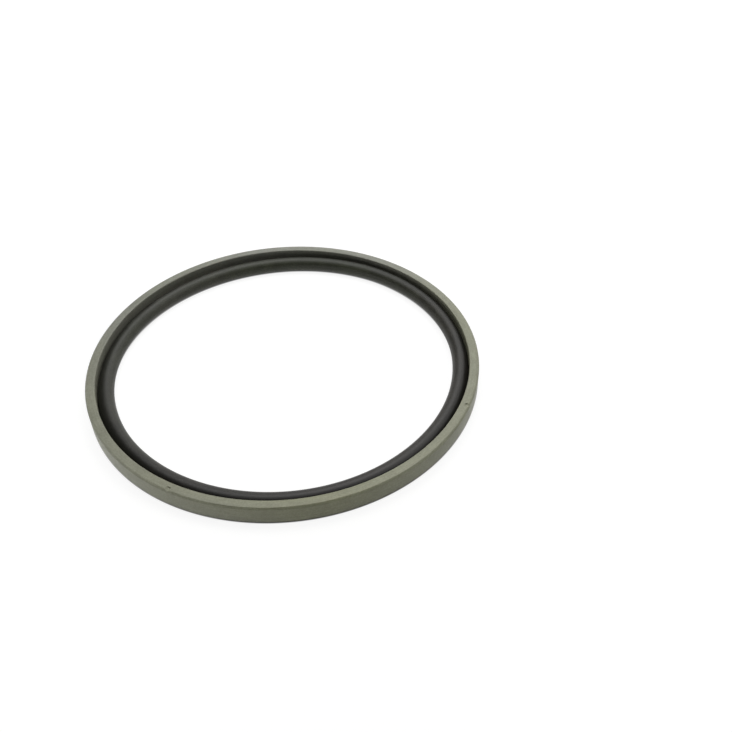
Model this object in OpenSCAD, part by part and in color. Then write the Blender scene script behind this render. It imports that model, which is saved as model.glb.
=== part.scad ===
// Two-piece piston seal: a slide ring of filled PTFE with a rubber O-ring inside it.
// It lies flat, as it does before it is stretched over its piston. All sizes are in millimetres.
// The origin is the middle of the underside, and Z is the axis of both rings.

/* [Slide ring] */
// Bore of the cylinder, which is the outside diameter of the slide ring
bore_d = 125; // [60:1:250]
// Thickness of the slide ring between its inside and its outside
ring_wall = 3; // [2.6:0.1:5]
// Width of the slide ring along its axis, a little under that of the piston's groove
ring_w = 6.2; // [4:0.1:9]
// Lead-in chamfer on the two outer edges
lead_in = 0.5; // [0.2:0.05:0.8]
// Edge break on the two inner edges
edge_break = 0.15; // [0.05:0.05:0.4]

/* [O-ring] */
// Thickness of the O-ring's cord
cord_d = 5; // [3:0.1:6.5]
// Clearance between the O-ring and the inside of the slide ring
ring_fit = 0.4; // [0.1:0.05:1]

/* [Relief nicks in the upper outer edge] */
// Angle of the first nick, from the +X axis
nick_a = 242.4; // [200:0.1:290]
// Angle of the second nick, from the +X axis
nick_b = 336.2; // [300:0.1:350]
// Diameter of the round cutter that makes a nick
nick_d = 1.6; // [1:0.1:2.4]
// Depth of a nick below the upper face
nick_depth = 0.35; // [0.1:0.05:0.5]
// Length of a nick, inwards from the outside of the slide ring
nick_len = 1.5; // [0.8:0.1:2.2]

/* [Hidden] */

ring_r = bore_d / 2;
bore_r = ring_r - ring_wall;
cord_r = cord_d / 2;
cord_path_r = bore_r - ring_fit - cord_r;
nick_overrun = 0.5;
ring_facets = 240;
cord_facets = 64;

// Section of the slide ring: a rectangle with chamfered outer edges and lightly broken inner ones
module slide_ring_section() {
    polygon([
        [bore_r + edge_break, 0],
        [ring_r - lead_in, 0],
        [ring_r, lead_in],
        [ring_r, ring_w - lead_in],
        [ring_r - lead_in, ring_w],
        [bore_r + edge_break, ring_w],
        [bore_r, ring_w - edge_break],
        [bore_r, edge_break],
    ]);
}

// Round cutter laid along a radius, with its lowest line at the nick's depth
module nick_cutter(angle) {
    rotate([0, 0, angle])
        translate([ring_r - nick_len, 0, ring_w - nick_depth + nick_d / 2])
            rotate([0, 90, 0])
                cylinder(h = nick_len + nick_overrun, d = nick_d, $fn = cord_facets);
}

// Hard ring that slides on the cylinder's wall
module slide_ring() {
    color("#8b8d7e")
        difference() {
            rotate_extrude($fn = ring_facets) slide_ring_section();
            for (angle = [nick_a, nick_b]) nick_cutter(angle);
        }
}

// Round rubber ring that presses the slide ring outwards, lying on the same surface
module o_ring() {
    color("#3c3c3c")
        rotate_extrude($fn = ring_facets)
            translate([cord_path_r, cord_r]) circle(d = cord_d, $fn = cord_facets);
}

slide_ring();
o_ring();
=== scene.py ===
import math

import bpy
from mathutils import Matrix, Vector


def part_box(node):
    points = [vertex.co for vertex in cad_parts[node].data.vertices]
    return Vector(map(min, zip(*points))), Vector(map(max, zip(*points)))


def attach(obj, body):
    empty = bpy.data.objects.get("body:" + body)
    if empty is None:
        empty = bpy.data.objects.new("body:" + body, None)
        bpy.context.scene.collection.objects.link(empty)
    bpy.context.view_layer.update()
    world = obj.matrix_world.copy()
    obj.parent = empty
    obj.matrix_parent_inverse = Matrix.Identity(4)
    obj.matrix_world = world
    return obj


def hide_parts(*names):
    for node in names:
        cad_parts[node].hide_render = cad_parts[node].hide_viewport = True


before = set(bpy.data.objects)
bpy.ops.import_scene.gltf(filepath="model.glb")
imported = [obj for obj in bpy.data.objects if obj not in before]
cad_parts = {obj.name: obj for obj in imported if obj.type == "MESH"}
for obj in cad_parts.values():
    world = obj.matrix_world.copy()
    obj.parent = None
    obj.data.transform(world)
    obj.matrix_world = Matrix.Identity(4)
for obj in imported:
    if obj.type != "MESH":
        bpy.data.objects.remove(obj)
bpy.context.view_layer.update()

# Two-piece piston seal: a turned slide ring of filled PTFE, with a moulded rubber O-ring loose inside it.
# Lengths in the dictionaries are millimetres, and angles are degrees from +X about the rings' axis.

mm = 0.001
print("frame loaded:", ", ".join(sorted(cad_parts)))


def hexToLinear(hexColour):
    channels = [int(hexColour[i:i + 2], 16) / 255 for i in (1, 3, 5)]
    linear = [c / 12.92 if c <= 0.04045 else ((c + 0.055) / 1.055) ** 2.4 for c in channels]
    return (*linear, 1.0)


# A node with its settings, and a link or a value for each input that is named
def addNode(tree, kind, inputs=None, **settings):
    node = tree.nodes.new(kind)
    for name, value in settings.items():
        setattr(node, name, value)
    for socket, value in (inputs or {}).items():
        if isinstance(value, bpy.types.NodeSocket):
            tree.links.new(value, node.inputs[socket])
        else:
            node.inputs[socket].default_value = value
    return node


def addObject(name, data):
    added = bpy.data.objects.new(name, data)
    bpy.context.scene.collection.objects.link(added)
    return added


# Sizes out of a dictionary, in the units that Blender takes
def inMetres(sizes, *names):
    return {name: sizes[name] * mm for name in names}


def inRadians(sizes, *names):
    return {name: math.radians(sizes[name]) for name in names}


# Camera: it looks along +Y and down on the seal, from the photograph's own place
photoWidth = 732         # pixels
cameraPlace = {
    "spot": (26.46, -202.48, 182.19),
    "tilt": 41.915,      # below the horizon
    "roll": -1.334,
    "lens": 40.97,       # on a 36 mm sensor
    "shift": (-0.4 / photoWidth, 0.1 / photoWidth),      # under half a pixel, as the fit asks
}


def placeCamera(place):
    data = bpy.data.cameras.new("camera")
    data.lens = place["lens"]
    data.shift_x, data.shift_y = place["shift"]
    camera = addObject("camera", data)
    spot = Matrix.Translation(Vector(place["spot"]) * mm)
    tilt = Matrix.Rotation(math.radians(90 - place["tilt"]), 4, "X")
    roll = Matrix.Rotation(math.radians(place["roll"]), 4, "Z")
    camera.matrix_world = spot @ tilt @ roll
    bpy.context.scene.camera = camera


placeCamera(cameraPlace)
print("camera placed")


# Growing a piece: a tree with named inputs, turned into a plain mesh at the origin
def newTree(name, inputs):
    tree = bpy.data.node_groups.new(name, "GeometryNodeTree")
    for kind, inputNames in inputs.items():
        for inputName in inputNames:
            tree.interface.new_socket(inputName, in_out="INPUT", socket_type="NodeSocket" + kind)
    tree.interface.new_socket("mesh", in_out="OUTPUT", socket_type="NodeSocketGeometry")
    return tree, tree.nodes.new("NodeGroupInput").outputs


# Sweeps a section along a ring's path, and lifts it by half its height to stand on the floor
def sweptRing(tree, path, section, halfHeight):
    upright = addNode(tree, "GeometryNodeSetCurveNormal", {"Curve": path}, mode="Z_UP").outputs[0]
    swept = addNode(tree, "GeometryNodeCurveToMesh", {"Curve": upright, "Profile Curve": section}).outputs[0]
    lift = addNode(tree, "ShaderNodeCombineXYZ", {"Z": halfHeight}).outputs[0]
    return addNode(tree, "GeometryNodeTransform", {"Geometry": swept, "Translation": lift}).outputs[0]


def closeTree(tree, geometry, material):
    realized = addNode(tree, "GeometryNodeRealizeInstances", {"Geometry": geometry}).outputs[0]
    painted = addNode(tree, "GeometryNodeSetMaterial", {
        "Geometry": realized, "Material": material,
    }).outputs[0]
    addNode(tree, "NodeGroupOutput", {"mesh": painted})


def growPiece(name, tree, values):
    piece = addObject(name, bpy.data.meshes.new(name))
    grower = piece.modifiers.new("grow", "NODES")
    grower.node_group = tree
    for item in tree.interface.items_tree:
        if item.in_out == "INPUT":
            grower[item.identifier] = values[item.name]
    evaluated = piece.evaluated_get(bpy.context.evaluated_depsgraph_get())
    finished = bpy.data.meshes.new_from_object(evaluated)
    piece.modifiers.remove(grower)
    piece.data = finished
    finished.name = name
    return piece


# Materials: every pattern reads Object coordinates, so it stays on its piece
noiseReach = {"From Min": 0.3, "From Max": 0.7}      # nearly all of a noise pattern lies between these
driftReach = {"From Min": 0.35, "From Max": 0.7}     # where a slow pattern turns from one state to the other


def distanceFromAxis(tree, place):
    level = addNode(tree, "ShaderNodeVectorMath", {0: place, 1: (1, 1, 0)}, operation="MULTIPLY").outputs[0]
    return addNode(tree, "ShaderNodeVectorMath", {0: level}, operation="LENGTH").outputs["Value"]


# Slow drift between two colours round a ring
def driftingColour(tree, place, first, second, look):
    drift = addNode(tree, "ShaderNodeTexNoise", {
        "Vector": place, "W": look["toneSeed"], "Scale": 1 / (look["toneSize"] * mm), "Detail": 1.0,
    }, noise_dimensions="4D").outputs["Fac"]
    share = addNode(tree, "ShaderNodeMapRange", {"Value": drift, **driftReach}).outputs[0]
    return addNode(tree, "ShaderNodeMix", {
        0: share, 6: hexToLinear(first), 7: hexToLinear(second),     # 6 and 7 are its two colours
    }, data_type="RGBA").outputs[2]


ptfeLook = {
    "grey": "#94958b",
    "olive": "#95967c",
    "toneSize": 75.0,        # slow drift between the two colours round the ring
    "toneSeed": 236.0,
    "mottleSize": 5.0,
    "mottleSwing": 0.07,     # share by which a pattern makes the colour lighter and darker
    "markPitch": 0.45,       # the real feed is about 0.15, drawn coarser so that it shows
    "markStretch": 0.03,     # how slowly a mark changes along its circle
    "markSwing": 0.1,
    "markDepth": 0.016,      # height of the bump that a pattern gives the surface
    "fillerSize": 0.5,       # the real flecks are about 0.05, drawn coarser so that they show
    "fillerSwing": 0.12,
    "fillerDepth": 0.014,
    "roughness": 0.46,
    "roughSwing": 0.05,
    "ior": 1.41,             # PTFE alone is about 1.35, and its filler raises that
}


# Bronze-filled PTFE, turned: a matt grey-green with fine rings from the tool and a faint fleck of filler
def turnedFilledPtfe(look):
    material = bpy.data.materials.new("turned_filled_ptfe")
    material.use_nodes = True
    tree = material.node_tree
    shader = tree.nodes["Principled BSDF"]
    place = addNode(tree, "ShaderNodeTexCoord").outputs["Object"]
    # Turned marks: a pattern over radius and height, which changes only slowly along its circle
    height = addNode(tree, "ShaderNodeSeparateXYZ", {"Vector": place}).outputs["Z"]
    along = addNode(tree, "ShaderNodeVectorMath", {
        0: place, "Scale": look["markStretch"],
    }, operation="SCALE").outputs[0]
    alongXyz = addNode(tree, "ShaderNodeSeparateXYZ", {"Vector": along}).outputs
    turned = addNode(tree, "ShaderNodeCombineXYZ", {
        "X": distanceFromAxis(tree, place), "Y": height, "Z": alongXyz["X"],
    }).outputs[0]
    marks = addNode(tree, "ShaderNodeTexNoise", {
        "Vector": turned, "W": alongXyz["Y"], "Scale": 1 / (look["markPitch"] * mm), "Detail": 2.0,
    }, noise_dimensions="4D").outputs["Fac"]
    mottle = addNode(tree, "ShaderNodeTexNoise", {
        "Vector": place, "Scale": 1 / (look["mottleSize"] * mm), "Detail": 3.0, "Roughness": 0.6,
    }).outputs["Fac"]
    filler = addNode(tree, "ShaderNodeTexNoise", {
        "Vector": place, "Scale": 1 / (look["fillerSize"] * mm), "Detail": 2.0, "Roughness": 0.6,
    }).outputs["Fac"]
    colour = driftingColour(tree, place, look["grey"], look["olive"], look)
    for pattern, swing in ((marks, "markSwing"), (mottle, "mottleSwing"), (filler, "fillerSwing")):
        lighter = addNode(tree, "ShaderNodeMapRange", {
            "Value": pattern, **noiseReach, "To Min": 1 - look[swing], "To Max": 1 + look[swing],
        }).outputs[0]
        colour = addNode(tree, "ShaderNodeVectorMath", {
            0: colour, "Scale": lighter,
        }, operation="SCALE").outputs[0]
    rough = addNode(tree, "ShaderNodeMapRange", {
        "Value": marks, **noiseReach,
        "To Min": look["roughness"] - look["roughSwing"], "To Max": look["roughness"] + look["roughSwing"],
    }).outputs[0]
    markBump = addNode(tree, "ShaderNodeBump", {
        "Height": marks, "Strength": 1.0, "Distance": look["markDepth"] * mm,
    }).outputs[0]
    fineBump = addNode(tree, "ShaderNodeBump", {
        "Height": filler, "Strength": 1.0, "Distance": look["fillerDepth"] * mm, "Normal": markBump,
    }).outputs[0]
    tree.links.new(colour, shader.inputs["Base Color"])
    tree.links.new(rough, shader.inputs["Roughness"])
    tree.links.new(fineBump, shader.inputs["Normal"])
    shader.inputs["IOR"].default_value = look["ior"]
    return material


rubberLook = {
    "green": "#26281f",
    "brown": "#272422",
    "toneSize": 75.0,        # slow drift between the two blacks round the ring
    "toneSeed": 236.0,
    "bloom": 0.6,            # how much lighter the dusty clouds are
    "bloomSize": 7.0,
    "paintedGapShade": 0.3,        # painted shade: share of its colour on the outer side, in the gap, which lies in the slide ring's shadow
    "paintedInnerLight": 1.8,          # painted light: share of its colour on the open inner side, standing in for the white floor's reflected light
    "paintedGapShadeAt": 0.65,     # where those two hold, in cord radii outwards from the cord's middle
    "paintedInnerLightAt": -0.8,
    "grainSize": 0.45,       # the mould's own grain is about 0.1, drawn coarser so that it shows
    "grainSwing": 0.25,
    "grainDepth": 0.018,
    "roughness": 0.45,
    "roughSwing": 0.06,
    "ior": 1.5,
    "sheen": 0.292,          # specular level: bare rubber would be 0.5, and the bloom on it dulls that
}


# Nitrile rubber, moulded: near black with a satin sheen and a faint dusty bloom, with painted shade on the
# side in the gap and painted light on the open inner side
def mouldedNitrileRubber(look):
    material = bpy.data.materials.new("moulded_nitrile_rubber")
    material.use_nodes = True
    tree = material.node_tree
    shader = tree.nodes["Principled BSDF"]
    place = addNode(tree, "ShaderNodeTexCoord").outputs["Object"]
    cloud = addNode(tree, "ShaderNodeTexNoise", {
        "Vector": place, "Scale": 1 / (look["bloomSize"] * mm), "Detail": 3.0,
    }).outputs["Fac"]
    grain = addNode(tree, "ShaderNodeTexNoise", {
        "Vector": place, "Scale": 1 / (look["grainSize"] * mm), "Detail": 2.0,
    }).outputs["Fac"]
    bloom = addNode(tree, "ShaderNodeMapRange", {
        "Value": cloud, **driftReach, "To Min": 1.0, "To Max": 1 + look["bloom"],
    }).outputs[0]
    dust = addNode(tree, "ShaderNodeMapRange", {
        "Value": grain, **noiseReach, "To Min": 1 - look["grainSwing"], "To Max": 1 + look["grainSwing"],
    }).outputs[0]
    # Painted shade and light: the colour darkens towards the outer side in the gap and lightens towards the
    # open inner side
    given = oRingSizes(oRing)
    paintedGapShadeAndInnerLight = addNode(tree, "ShaderNodeMapRange", {
        "Value": distanceFromAxis(tree, place),
        "From Min": given["pathRadius"] + look["paintedGapShadeAt"] * given["cordRadius"],
        "From Max": given["pathRadius"] + look["paintedInnerLightAt"] * given["cordRadius"],
        "To Min": look["paintedGapShade"], "To Max": look["paintedInnerLight"],
    }).outputs[0]
    colour = driftingColour(tree, place, look["green"], look["brown"], look)
    for share in (bloom, dust, paintedGapShadeAndInnerLight):
        colour = addNode(tree, "ShaderNodeVectorMath", {
            0: colour, "Scale": share,
        }, operation="SCALE").outputs[0]
    rough = addNode(tree, "ShaderNodeMapRange", {
        "Value": cloud,
        "To Min": look["roughness"] - look["roughSwing"], "To Max": look["roughness"] + look["roughSwing"],
    }).outputs[0]
    bump = addNode(tree, "ShaderNodeBump", {
        "Height": grain, "Strength": 1.0, "Distance": look["grainDepth"] * mm,
    }).outputs[0]
    tree.links.new(colour, shader.inputs["Base Color"])
    tree.links.new(rough, shader.inputs["Roughness"])
    tree.links.new(bump, shader.inputs["Normal"])
    shader.inputs["IOR"].default_value = look["ior"]
    shader.inputs["Specular IOR Level"].default_value = look["sheen"]
    return material


# Slide ring
slideRing = {
    "wall": 3.0,
    "leadIn": 0.5,           # chamfer on the two outer edges
    "edgeBreak": 0.15,       # chamfer on the two inner edges
    "softEdge": 0.06,        # radius that turning and handling leave on every edge
    "softSteps": 2,
    "segments": 720,
    "nicks": 2,
    "firstNick": 242.4,
    "nickStep": 93.8,
    "nickDiameter": 1.6,
    "nickDepth": 0.35,
    "nickLength": 1.5,
    "cutterSides": 64,
    "sharpAngle": 12.0,      # a steeper edge than this is shaded sharp
}


def slideRingTree():
    tree, given = newTree("slide_ring", {
        "Float": (
            "outerRadius", "wall", "width", "leadIn", "edgeBreak", "softEdge",
            "firstNick", "nickStep", "nickRadius", "nickDepth", "nickLength", "sharpAngle",
        ),
        "Int": ("softSteps", "segments", "nicks", "cutterSides"),
        "Material": ("material",),
    })
    # Section: a rectangle, chamfered more on its outer side, with every edge then softened
    rectangle = addNode(tree, "GeometryNodeCurvePrimitiveQuadrilateral", {
        "Width": given["wall"], "Height": given["width"],
    }).outputs[0]
    corner = addNode(tree, "GeometryNodeInputPosition").outputs[0]
    across = addNode(tree, "ShaderNodeSeparateXYZ", {"Vector": corner}).outputs["X"]
    isOuter = addNode(tree, "ShaderNodeMath", {0: across, 1: 0.0}, operation="GREATER_THAN").outputs[0]
    cut = addNode(tree, "ShaderNodeMix", {
        "Factor": isOuter, "A": given["edgeBreak"], "B": given["leadIn"],
    }).outputs["Result"]
    chamfered = addNode(tree, "GeometryNodeFilletCurve", {
        "Curve": rectangle, "Count": 1, "Radius": cut,
    }, mode="POLY").outputs[0]
    softened = addNode(tree, "GeometryNodeFilletCurve", {
        "Curve": chamfered, "Count": given["softSteps"], "Radius": given["softEdge"], "Limit Radius": True,
    }, mode="POLY").outputs[0]
    # Path: a circle through the middle of the wall
    halfWall = addNode(tree, "ShaderNodeMath", {0: given["wall"], 1: 0.5}, operation="MULTIPLY").outputs[0]
    halfWidth = addNode(tree, "ShaderNodeMath", {0: given["width"], 1: 0.5}, operation="MULTIPLY").outputs[0]
    middle = addNode(tree, "ShaderNodeMath", {
        0: given["outerRadius"], 1: halfWall,
    }, operation="SUBTRACT").outputs[0]
    circle = addNode(tree, "GeometryNodeCurvePrimitiveCircle", {
        "Resolution": given["segments"], "Radius": middle,
    }).outputs["Curve"]
    ring = sweptRing(tree, circle, softened, halfWidth)
    # Nicks: a round cutter laid along a radius at each place, half of it outside the ring
    spots = addNode(tree, "GeometryNodePoints", {"Count": given["nicks"]}).outputs[0]
    index = addNode(tree, "GeometryNodeInputIndex").outputs[0]
    turn = addNode(tree, "ShaderNodeMath", {
        0: index, 1: given["nickStep"], 2: given["firstNick"],
    }, operation="MULTIPLY_ADD").outputs[0]
    above = addNode(tree, "ShaderNodeMath", {
        0: given["nickRadius"], 1: given["nickDepth"],
    }, operation="SUBTRACT").outputs[0]
    height = addNode(tree, "ShaderNodeMath", {0: given["width"], 1: above}, operation="ADD").outputs[0]
    spot = addNode(tree, "ShaderNodeCombineXYZ", {"X": given["outerRadius"], "Z": height}).outputs[0]
    turned = addNode(tree, "ShaderNodeVectorRotate", {
        "Vector": spot, "Angle": turn,
    }, rotation_type="Z_AXIS").outputs[0]
    placed = addNode(tree, "GeometryNodeSetPosition", {"Geometry": spots, "Position": turned}).outputs[0]
    cutterLength = addNode(tree, "ShaderNodeMath", {
        0: given["nickLength"], 1: 2.0,
    }, operation="MULTIPLY").outputs[0]
    cutter = addNode(tree, "GeometryNodeMeshCylinder", {
        "Vertices": given["cutterSides"], "Radius": given["nickRadius"], "Depth": cutterLength,
    }).outputs["Mesh"]
    lie = addNode(tree, "ShaderNodeCombineXYZ", {"Y": math.radians(90), "Z": turn}).outputs[0]
    heading = addNode(tree, "FunctionNodeEulerToRotation", {"Euler": lie}).outputs[0]
    cutters = addNode(tree, "GeometryNodeInstanceOnPoints", {
        "Points": placed, "Instance": cutter, "Rotation": heading,
    }).outputs[0]
    nicked = addNode(tree, "GeometryNodeMeshBoolean", {
        "Mesh 1": ring, "Mesh 2": cutters,
    }, operation="DIFFERENCE", solver="EXACT").outputs["Mesh"]
    # Smooth round the ring, sharp across its edges
    smooth = addNode(tree, "GeometryNodeSetShadeSmooth", {
        "Geometry": nicked, "Shade Smooth": True,
    }).outputs[0]
    bend = addNode(tree, "GeometryNodeInputMeshEdgeAngle").outputs["Unsigned Angle"]
    isSharp = addNode(tree, "ShaderNodeMath", {
        0: bend, 1: given["sharpAngle"],
    }, operation="GREATER_THAN").outputs[0]
    creased = addNode(tree, "GeometryNodeSetShadeSmooth", {
        "Geometry": smooth, "Selection": isSharp, "Shade Smooth": False,
    }, domain="EDGE").outputs[0]
    closeTree(tree, creased, given["material"])
    return tree


def makeSlideRing(ring, material):
    low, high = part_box("slide_ring")
    return growPiece("turned_slide_ring", slideRingTree(), {
        **inMetres(ring, "wall", "leadIn", "edgeBreak", "softEdge", "nickDepth", "nickLength"),
        **inRadians(ring, "firstNick", "nickStep", "sharpAngle"),
        "outerRadius": high.y,
        "width": high.z - low.z,
        "nickRadius": ring["nickDiameter"] / 2 * mm,
        "softSteps": ring["softSteps"],
        "segments": ring["segments"],
        "nicks": ring["nicks"],
        "cutterSides": ring["cutterSides"],
        "material": material,
    })


turnedSlideRing = makeSlideRing(slideRing, turnedFilledPtfe(ptfeLook))
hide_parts("slide_ring")
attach(turnedSlideRing, "root")
print("slide ring made:", len(turnedSlideRing.data.polygons), "faces")


# O-ring: soft enough to lie a little off centre and out of round
oRing = {
    "lean": 0.32,            # how far it lies off centre, and which way
    "leanAngle": -46.0,
    "oval": 0.345,           # how far it is drawn out to an oval, and along which line
    "ovalAngle": 26.3,
    "wave": 0.27,            # how far it is drawn out to three lobes, and where the first one is
    "waveAngle": 44.7,
    "room": 0.3,             # how far it may lie out before the slide ring holds it
    "roomBlend": 0.15,       # how softly that hold sets in
    "flashHeight": 0.04,     # parting line left by the mould, inside and outside
    "flashWidth": 0.25,
    "segments": 600,
    "sectionPoints": 96,
}


# How far the cord lies out of round: one, two and three swings a turn, stopped by the slide ring
def cordShift(tree, xyz, given):
    angle = addNode(tree, "ShaderNodeMath", {0: xyz["Y"], 1: xyz["X"]}, operation="ARCTAN2").outputs[0]
    outward = 0.0
    for times, swing in enumerate(("lean", "oval", "wave"), start=1):
        away = addNode(tree, "ShaderNodeMath", {
            0: angle, 1: given[swing + "Angle"],
        }, operation="SUBTRACT").outputs[0]
        phase = addNode(tree, "ShaderNodeMath", {0: away, 1: float(times)}, operation="MULTIPLY").outputs[0]
        cosine = addNode(tree, "ShaderNodeMath", {0: phase}, operation="COSINE").outputs[0]
        outward = addNode(tree, "ShaderNodeMath", {
            0: cosine, 1: given[swing], 2: outward,
        }, operation="MULTIPLY_ADD").outputs[0]
    return addNode(tree, "ShaderNodeMath", {
        0: outward, 1: given["room"], 2: given["roomBlend"],
    }, operation="SMOOTH_MIN").outputs[0]


# Moves the points of a flat curve straight away from the origin
def pushedOut(tree, curve, position, reach):
    outward = addNode(tree, "ShaderNodeVectorMath", {0: position}, operation="NORMALIZE").outputs[0]
    offset = addNode(tree, "ShaderNodeVectorMath", {
        0: outward, "Scale": reach,
    }, operation="SCALE").outputs[0]
    return addNode(tree, "GeometryNodeSetPosition", {"Geometry": curve, "Offset": offset}).outputs[0]


def oRingTree():
    tree, given = newTree("o_ring", {
        "Float": (
            "pathRadius", "cordRadius", "lean", "leanAngle", "oval", "ovalAngle", "wave", "waveAngle",
            "room", "roomBlend", "flashHeight", "flashWidth",
        ),
        "Int": ("segments", "sectionPoints"),
        "Material": ("material",),
    })
    position = addNode(tree, "GeometryNodeInputPosition").outputs[0]
    xyz = addNode(tree, "ShaderNodeSeparateXYZ", {"Vector": position}).outputs
    # Path: a circle, pushed out of round
    circle = addNode(tree, "GeometryNodeCurvePrimitiveCircle", {
        "Resolution": given["segments"], "Radius": given["pathRadius"],
    }).outputs["Curve"]
    path = pushedOut(tree, circle, position, cordShift(tree, xyz, given))
    # Section: round, with a low ridge where the mould's halves met
    section = addNode(tree, "GeometryNodeCurvePrimitiveCircle", {
        "Resolution": given["sectionPoints"], "Radius": given["cordRadius"],
    }).outputs["Curve"]
    sideways = addNode(tree, "ShaderNodeMath", {0: xyz["Y"]}, operation="ABSOLUTE").outputs[0]
    ridge = addNode(tree, "ShaderNodeMapRange", {
        "Value": sideways, "From Min": 0.0, "From Max": given["flashWidth"],
        "To Min": given["flashHeight"], "To Max": 0.0,
    }, interpolation_type="SMOOTHSTEP").outputs[0]
    ridged = pushedOut(tree, section, position, ridge)
    ring = sweptRing(tree, path, ridged, given["cordRadius"])
    smooth = addNode(tree, "GeometryNodeSetShadeSmooth", {"Geometry": ring, "Shade Smooth": True}).outputs[0]
    closeTree(tree, smooth, given["material"])
    return tree


# The O-ring's sizes in metres and radians, under the names of the tree's inputs
def oRingSizes(ring):
    low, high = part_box("o_ring")
    cordRadius = (high.z - low.z) / 2
    return {
        **inMetres(ring, "lean", "oval", "wave", "room", "roomBlend", "flashHeight", "flashWidth"),
        **inRadians(ring, "leanAngle", "ovalAngle", "waveAngle"),
        "cordRadius": cordRadius,
        "pathRadius": high.y - cordRadius,
    }


def makeORing(ring, material):
    return growPiece("moulded_o_ring", oRingTree(), {
        **oRingSizes(ring),
        "segments": ring["segments"],
        "sectionPoints": ring["sectionPoints"],
        "material": material,
    })


mouldedORing = makeORing(oRing, mouldedNitrileRubber(rubberLook))
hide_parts("o_ring")
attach(mouldedORing, "root")
print("O-ring made:", len(mouldedORing.data.polygons), "faces")


# Stage: a white floor that keeps the seal's shadow, and a white world
stage = {
    "floorSize": 8000.0,
    "floorColour": "#f3f3f1",
    "shadowShare": 0.2,              # how much of the floor's own shading the camera sees
    "shadowReach": (110.0, 260.0),   # that shading fades out between these distances from the axis
    "whiteShare": 0.9,               # how white the camera sees the floor besides that shading
    "shadeUnderCord": (1.9, 0.8),    # inside its line of contact, the floor goes from white to dark
    "shadeAtFoot": (-0.3, 0.2),      # outside the slide ring, it goes from dark to white
    "worldLevel": 0.02,              # light that the world gives the seal
    "screenAzimuths": (108, 325),
    "screenElevations": (14, 62),
    "screenDistance": 600,
    "screenSteps": 24,
    "screenColour": "#202020",
    "screenRoughness": 0.9,
}


def direction(azimuth, elevation):
    azimuth, elevation = math.radians(azimuth), math.radians(elevation)
    level = math.cos(elevation)
    return Vector((math.cos(azimuth) * level, math.sin(azimuth) * level, math.sin(elevation)))


# It gives 1 for rays from the camera, from gloss and through glass, so that they see plain white
def seenDirectly(tree):
    rays = addNode(tree, "ShaderNodeLightPath").outputs
    both = addNode(tree, "ShaderNodeMath", {
        0: rays["Is Camera Ray"], 1: rays["Is Glossy Ray"],
    }, operation="ADD").outputs[0]
    return addNode(tree, "ShaderNodeMath", {
        0: both, 1: rays["Is Transmission Ray"],
    }, operation="ADD", use_clamp=True).outputs[0]


# White paper: matt, with a faint shadow round the seal, and dark under the rings, where no light gets in
def whitePaper(look):
    material = bpy.data.materials.new("white_paper")
    material.use_nodes = True
    tree = material.node_tree
    tree.nodes.clear()
    given = oRingSizes(oRing)
    place = addNode(tree, "ShaderNodeTexCoord").outputs["Object"]
    xyz = addNode(tree, "ShaderNodeSeparateXYZ", {"Vector": place}).outputs
    radius = distanceFromAxis(tree, place)
    contact = addNode(tree, "ShaderNodeMath", {
        0: cordShift(tree, xyz, given), 1: given["pathRadius"],
    }, operation="ADD").outputs[0]
    inside = addNode(tree, "ShaderNodeMath", {0: contact, 1: radius}, operation="SUBTRACT").outputs[0]
    whiteAt, darkAt = look["shadeUnderCord"]
    openInside = addNode(tree, "ShaderNodeMapRange", {
        "Value": inside, "From Min": darkAt * mm, "From Max": whiteAt * mm,
    }, interpolation_type="SMOOTHSTEP").outputs[0]
    darkAt, whiteAt = look["shadeAtFoot"]
    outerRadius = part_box("slide_ring")[1].y
    openOutside = addNode(tree, "ShaderNodeMapRange", {
        "Value": radius, "From Min": outerRadius + darkAt * mm, "From Max": outerRadius + whiteAt * mm,
    }, interpolation_type="SMOOTHSTEP").outputs[0]
    openFloor = addNode(tree, "ShaderNodeMath", {0: openInside, 1: openOutside}, operation="ADD").outputs[0]
    glow = addNode(tree, "ShaderNodeMath", {
        0: openFloor, 1: look["whiteShare"] / (1 - look["shadowShare"]),
    }, operation="MULTIPLY").outputs[0]
    near, far = look["shadowReach"]
    whiteness = addNode(tree, "ShaderNodeMapRange", {
        "Value": radius, "From Min": near * mm, "From Max": far * mm,
        "To Min": 1 - look["shadowShare"], "To Max": 1.0,
    }, interpolation_type="SMOOTHSTEP").outputs[0]
    paper = addNode(tree, "ShaderNodeBsdfDiffuse", {"Color": hexToLinear(look["floorColour"])}).outputs[0]
    white = addNode(tree, "ShaderNodeEmission", {"Strength": glow}).outputs[0]
    seen = addNode(tree, "ShaderNodeMixShader", {0: whiteness, 1: paper, 2: white}).outputs[0]
    chosen = addNode(tree, "ShaderNodeMixShader", {0: seenDirectly(tree), 1: paper, 2: seen}).outputs[0]
    addNode(tree, "ShaderNodeOutputMaterial", {"Surface": chosen})
    return material


def layFloor(look):
    half = look["floorSize"] / 2 * mm
    corners = [(-half, -half, 0), (half, -half, 0), (half, half, 0), (-half, half, 0)]
    mesh = bpy.data.meshes.new("floor")
    mesh.from_pydata(corners, [], [(0, 1, 2, 3)])
    mesh.materials.append(whitePaper(look))
    addObject("floor", mesh)


# Black felt: matt and nearly black, so gloss that faces it stays dark
def blackFelt(look):
    material = bpy.data.materials.new("black_felt")
    material.use_nodes = True
    shader = material.node_tree.nodes["Principled BSDF"]
    shader.inputs["Base Color"].default_value = hexToLinear(look["screenColour"])
    shader.inputs["Roughness"].default_value = look["screenRoughness"]
    return material


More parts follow.
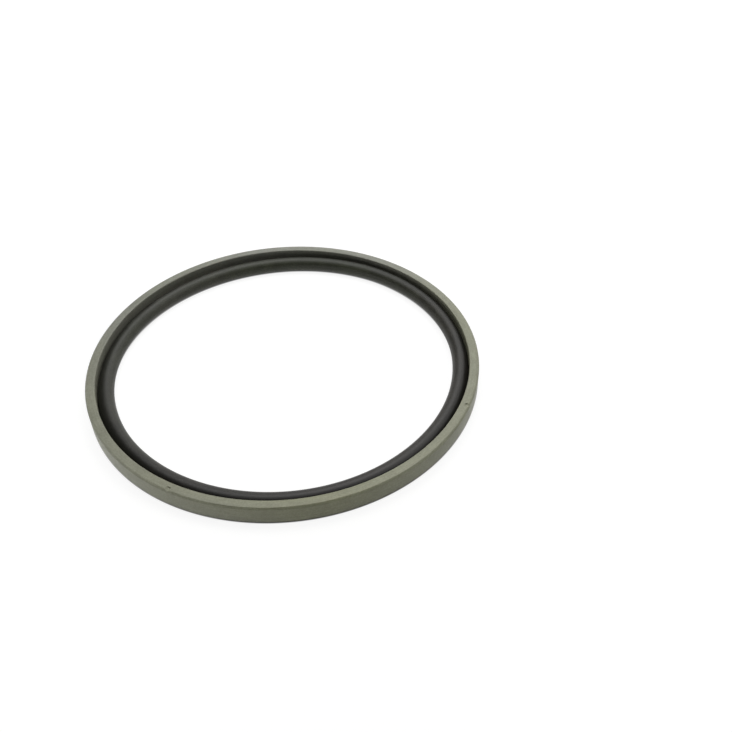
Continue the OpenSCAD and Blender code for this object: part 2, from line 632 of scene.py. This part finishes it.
# A dark curved screen behind the camera and round the left keeps the rubber from going grey
def hangScreen(look):
    low, high = (look["screenDistance"] * mm * direction(0, rise) for rise in look["screenElevations"])
    first, last = look["screenAzimuths"]
    steps = look["screenSteps"]
    angles = [math.radians(first + (last - first) * i / steps) for i in range(steps + 1)]
    corners = [Matrix.Rotation(angle, 3, "Z") @ end for angle in angles for end in (low, high)]
    faces = [(2 * i, 2 * i + 1, 2 * i + 3, 2 * i + 2) for i in range(steps)]
    mesh = bpy.data.meshes.new("dark_screen")
    mesh.from_pydata(corners, [], faces)
    mesh.materials.append(blackFelt(look))
    screen = addObject("dark_screen", mesh)
    screen.visible_camera = False


def lightWorld(look):
    world = bpy.data.worlds.new("studio")
    world.use_nodes = True
    tree = world.node_tree
    tree.nodes.clear()
    strength = addNode(tree, "ShaderNodeMix", {
        "Factor": seenDirectly(tree), "A": look["worldLevel"], "B": 1.0,
    }).outputs["Result"]
    background = addNode(tree, "ShaderNodeBackground", {
        "Color": (1, 1, 1, 1), "Strength": strength,
    }).outputs[0]
    addNode(tree, "ShaderNodeOutputWorld", {"Surface": background})
    bpy.context.scene.world = world


layFloor(stage)
hangScreen(stage)
lightWorld(stage)
print("floor and world made")


# Softboxes: share is what each gives a face turned to it, where 1 shows a colour as it is written.
# The last two are low and close by, and light the front left of the outer wall.
softboxes = {
    "keyHigh": {"azimuth": 40, "elevation": 62, "distance": 480, "size": (380, 200), "share": 0.115},
    "keyLow": {"azimuth": 60, "elevation": 21, "distance": 480, "size": (300, 180), "share": 0.085},
    "right": {"azimuth": 357, "elevation": 48, "distance": 480, "size": (200, 250), "share": 0.112},
    "back": {"azimuth": 91, "elevation": 48, "distance": 620, "size": (360, 210), "share": 0.130},
    "backLeft": {"azimuth": 130, "elevation": 48, "distance": 560, "size": (250, 180), "share": 0.290},
    "backLow": {"azimuth": 165, "elevation": 25, "distance": 560, "size": (250, 180), "share": 0.010},
    "left": {"azimuth": 198, "elevation": 35, "distance": 500, "size": (200, 200), "share": 0.012},
    "overhead": {"azimuth": 102, "elevation": 70, "distance": 650, "size": (520, 240), "share": 0.450},
    "cardLeft": {"azimuth": 205, "elevation": 5.4, "distance": 160, "size": (140, 24), "share": 0.070},
    "cardFront": {"azimuth": 240, "elevation": 5.4, "distance": 160, "size": (140, 24), "share": 0.050},
}


def hangSoftboxes(boxes):
    for name, box in boxes.items():
        data = bpy.data.lights.new(name, "AREA")
        data.shape = "RECTANGLE"
        data.size, data.size_y = (side * mm for side in box["size"])
        data.energy = box["share"] * (math.pi * box["distance"] * mm) ** 2
        away = direction(box["azimuth"], box["elevation"])
        lamp = addObject(name, data)
        lamp.location = away * box["distance"] * mm
        lamp.rotation_euler = away.to_track_quat("Z", "Y").to_euler()
        lamp.visible_camera = False


hangSoftboxes(softboxes)
bpy.context.scene.view_settings.view_transform = "Standard"
print("softboxes hung")
